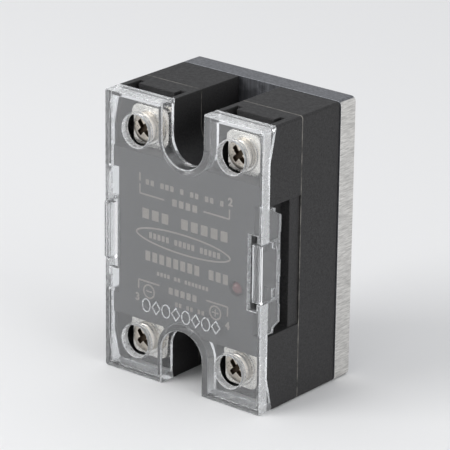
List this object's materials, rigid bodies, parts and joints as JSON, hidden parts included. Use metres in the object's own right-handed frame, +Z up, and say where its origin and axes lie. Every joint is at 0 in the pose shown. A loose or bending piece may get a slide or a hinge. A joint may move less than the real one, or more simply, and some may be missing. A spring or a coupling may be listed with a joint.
{
  "type": "solid state relay",
  "caption": "Panel-mounted black relay block on an aluminium heat-spreader plate, with screw terminals in its corners under a clear clip-on cover with squeeze latches and an indicator lamp",
  "frame": {"origin": "centre of the mounting face, which is the back of the base plate", "axes": "+Z up along the relay's length with terminals 1 and 2 at the top, front faces -Y, +Y points into the heatsink, X runs across"},
  "size_m": [0.0434, 0.0307, 0.063],
  "materials": {
    "aluminium_plate": "sawn and lightly sanded",
    "sealant": "cured silicone",
    "ceramic": "fired alumina",
    "copper": "bare copper",
    "black_epoxy": "moulded epoxy",
    "potting_resin": "cast resin",
    "black_case": "fine spark-eroded texture",
    "circuit_board": "solder mask",
    "capacitor_film": "dipped film",
    "resistor_body": "lacquered",
    "led_red": "tinted diffused lens",
    "brass_insert": "turned",
    "nickel_plate": "nickel-plated, satin",
    "screw_steel": "nickel-plated, cold headed",
    "clear_plastic": "clear moulded, faint haze"
  },
  "bodies": {
    "relay": {"base_plate": "aluminium_plate", "base_sealant": "sealant", "ceramic_substrate": "ceramic", "copper_pads": "copper", "power_triac": "black_epoxy", "potting": "potting_resin", "rear_case": "black_case", "front_case": "black_case", "driver_board": "circuit_board", "optocoupler": "black_epoxy", "snubber_capacitor": "capacitor_film", "gate_transistor": "black_epoxy", "resistors": "resistor_body", "diodes": "black_epoxy", "indicator_led": "led_red", "threaded_inserts": "brass_insert", "load_strap_1": "nickel_plate", "load_strap_2": "nickel_plate", "input_strap_3": "nickel_plate", "input_strap_4": "nickel_plate"},
    "cover": {"terminal_cover": "clear_plastic"},
    "latch_left": {"latch_left": "clear_plastic"},
    "latch_right": {"latch_right": "clear_plastic"},
    "clamp_1": {"clamp_1": "nickel_plate"},
    "screw_1": {"screw_1": "screw_steel"},
    "clamp_2": {"clamp_2": "nickel_plate"},
    "screw_2": {"screw_2": "screw_steel"},
    "clamp_3": {"clamp_3": "nickel_plate"},
    "screw_3": {"screw_3": "screw_steel"},
    "clamp_4": {"clamp_4": "nickel_plate"},
    "screw_4": {"screw_4": "screw_steel"}
  },
  "joints": [
    {"name": "cover_pull", "type": "slide", "parent": "relay", "child": "cover", "axis": [0, -1, 0], "range_m": [0, 0.015]},
    {"name": "latch_left_squeeze", "type": "hinge", "parent": "cover", "child": "latch_left", "pos_m": [-0.0208, -0.028, 0], "axis": [0, 0, 1], "range_deg": [0, 8], "stiffness_Nm_per_rad": 0.066},
    {"name": "latch_right_squeeze", "type": "hinge", "parent": "cover", "child": "latch_right", "pos_m": [0.0208, -0.028, 0], "axis": [0, 0, -1], "range_deg": [0, 8], "stiffness_Nm_per_rad": 0.066},
    {"name": "clamp_1_lift", "type": "slide", "parent": "relay", "child": "clamp_1", "axis": [0, -1, 0], "range_m": [0, 0.00245]},
    {"name": "screw_1_turn", "type": "hinge", "parent": "clamp_1", "child": "screw_1", "pos_m": [-0.0129, -0.024, 0.0237], "axis": [0, -1, 0], "range_deg": [0, 1260]},
    {"name": "clamp_2_lift", "type": "slide", "parent": "relay", "child": "clamp_2", "axis": [0, -1, 0], "range_m": [0, 0.00245]},
    {"name": "screw_2_turn", "type": "hinge", "parent": "clamp_2", "child": "screw_2", "pos_m": [0.0129, -0.024, 0.0237], "axis": [0, -1, 0], "range_deg": [0, 1260]},
    {"name": "clamp_3_lift", "type": "slide", "parent": "relay", "child": "clamp_3", "axis": [0, -1, 0], "range_m": [0, 0.00245]},
    {"name": "screw_3_turn", "type": "hinge", "parent": "clamp_3", "child": "screw_3", "pos_m": [-0.0129, -0.024, -0.0237], "axis": [0, -1, 0], "range_deg": [0, 1260]},
    {"name": "clamp_4_lift", "type": "slide", "parent": "relay", "child": "clamp_4", "axis": [0, -1, 0], "range_m": [0, 0.00245]},
    {"name": "screw_4_turn", "type": "hinge", "parent": "clamp_4", "child": "screw_4", "pos_m": [0.0129, -0.024, -0.0237], "axis": [0, -1, 0], "range_deg": [0, 1260]}
  ],
  "couplings": [
    {"joint": "screw_1_turn", "follows": "clamp_1_lift", "rad_per_m": 8976},
    {"joint": "screw_2_turn", "follows": "clamp_2_lift", "rad_per_m": 8976},
    {"joint": "screw_3_turn", "follows": "clamp_3_lift", "rad_per_m": 8976},
    {"joint": "screw_4_turn", "follows": "clamp_4_lift", "rad_per_m": 8976}
  ]
}
